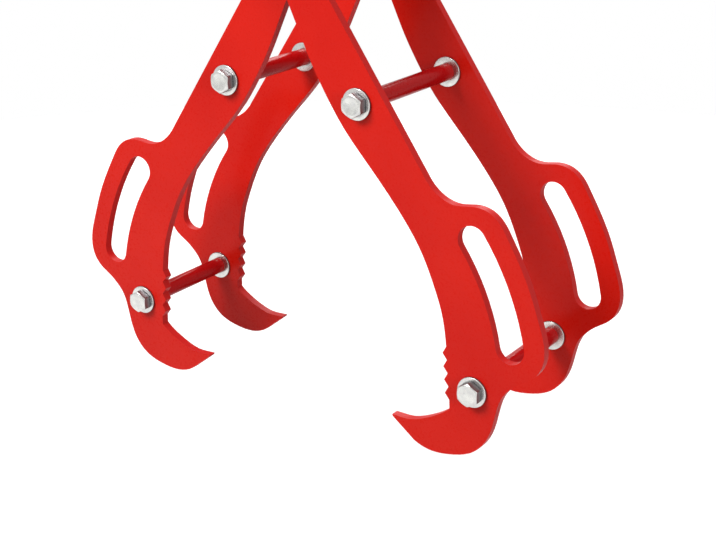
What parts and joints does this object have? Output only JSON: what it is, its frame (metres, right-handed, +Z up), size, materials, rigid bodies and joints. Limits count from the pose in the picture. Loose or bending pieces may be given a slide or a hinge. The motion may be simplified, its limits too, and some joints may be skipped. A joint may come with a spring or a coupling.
{
  "type": "log grapple",
  "caption": "Scissor log grapple that hangs from a swivelling eye: paired flat arms with toothed claws and hand slots, tied by bolted tubes and a link head.",
  "frame": {"origin": "centre of the lifting eye's hole, from which the grapple hangs", "axes": "+Z up, X across the jaws, +Y from the bolt heads at the front to the nuts at the rear, along the log"},
  "size_m": [0.51, 0.191, 0.9149],
  "materials": {
    "red_paint": "glossy red powder coat",
    "zinc_plate": "bright zinc plated",
    "bare_steel": "turned and greased",
    "forged_eye": "forged and galvanised",
    "bronze": "turned bronze"
  },
  "bodies": {
    "eye": {"lifting_eye": "forged_eye", "eye_thrust_washer": "zinc_plate", "eye_nut": "zinc_plate", "eye_cotter_pin": "zinc_plate"},
    "yoke": {"swivel_yoke": "red_paint", "swivel_bush": "bronze", "sway_bolt": "zinc_plate", "sway_nut": "zinc_plate", "sway_washers": "zinc_plate", "sway_sleeve": "bare_steel"},
    "hanger": {"hanger_front": "red_paint", "hanger_rear": "red_paint", "sway_spacer": "zinc_plate", "apex_bolt": "zinc_plate", "apex_nut": "zinc_plate", "apex_washers": "zinc_plate", "apex_sleeve": "bare_steel", "apex_gap_washers": "zinc_plate", "apex_side_spacers": "zinc_plate", "apex_centre_spacer": "zinc_plate"},
    "left_links": {"link_front_left": "red_paint", "link_rear_left": "red_paint"},
    "right_links": {"link_front_right": "red_paint", "link_rear_right": "red_paint"},
    "right_arms": {"claw_arm_front_right": "red_paint", "claw_arm_rear_right": "red_paint", "upper_bolt_right": "zinc_plate", "lower_bolt_right": "zinc_plate", "top_bolt_right": "zinc_plate", "arm_nuts_right": "zinc_plate", "head_washers_right": "zinc_plate", "tube_washers_right": "zinc_plate", "upper_tube_right": "red_paint", "lower_tube_right": "red_paint", "top_sleeve_right": "bare_steel", "top_spacer_right": "red_paint", "pivot_bolt": "zinc_plate", "pivot_nut": "zinc_plate", "pivot_sleeve": "bare_steel", "pivot_washers": "zinc_plate"},
    "left_arms": {"claw_arm_front_left": "red_paint", "claw_arm_rear_left": "red_paint", "upper_bolt_left": "zinc_plate", "lower_bolt_left": "zinc_plate", "top_bolt_left": "zinc_plate", "arm_nuts_left": "zinc_plate", "head_washers_left": "zinc_plate", "tube_washers_left": "zinc_plate", "upper_tube_left": "red_paint", "lower_tube_left": "red_paint", "top_sleeve_left": "bare_steel", "top_spacer_left": "red_paint", "pivot_gap_washers": "zinc_plate"}
  },
  "joints": [
    {"name": "eye_swivel", "type": "hinge", "parent": "eye", "child": "yoke", "pos_m": [0, 0, -0.06525], "axis": [0, 0, 1], "continuous": true},
    {"name": "head_sway", "type": "hinge", "parent": "yoke", "child": "hanger", "pos_m": [0, 0, -0.12725], "axis": [0, 1, 0], "range_deg": [-60, 60]},
    {"name": "tong_fold", "type": "hinge", "parent": "hanger", "child": "left_links", "pos_m": [0, 0, -0.18925], "axis": [0, 1, 0], "range_deg": [-20, 43]},
    {"name": "right_link_fold", "type": "hinge", "parent": "hanger", "child": "right_links", "pos_m": [0, 0, -0.18925], "axis": [0, 1, 0], "range_deg": [-43, 20]},
    {"name": "right_arm_fold", "type": "hinge", "parent": "left_links", "child": "right_arms", "pos_m": [-0.075, 0, -0.31915], "axis": [0, 1, 0], "range_deg": [-86, 40]},
    {"name": "left_arm_fold", "type": "hinge", "parent": "right_links", "child": "left_arms", "pos_m": [0.075, 0, -0.31915], "axis": [0, 1, 0], "range_deg": [-40, 86]}
  ],
  "couplings": [
    {"joint": "right_link_fold", "follows": "tong_fold", "ratio": -1},
    {"joint": "right_arm_fold", "follows": "tong_fold", "ratio": -2},
    {"joint": "left_arm_fold", "follows": "tong_fold", "ratio": 2}
  ]
}
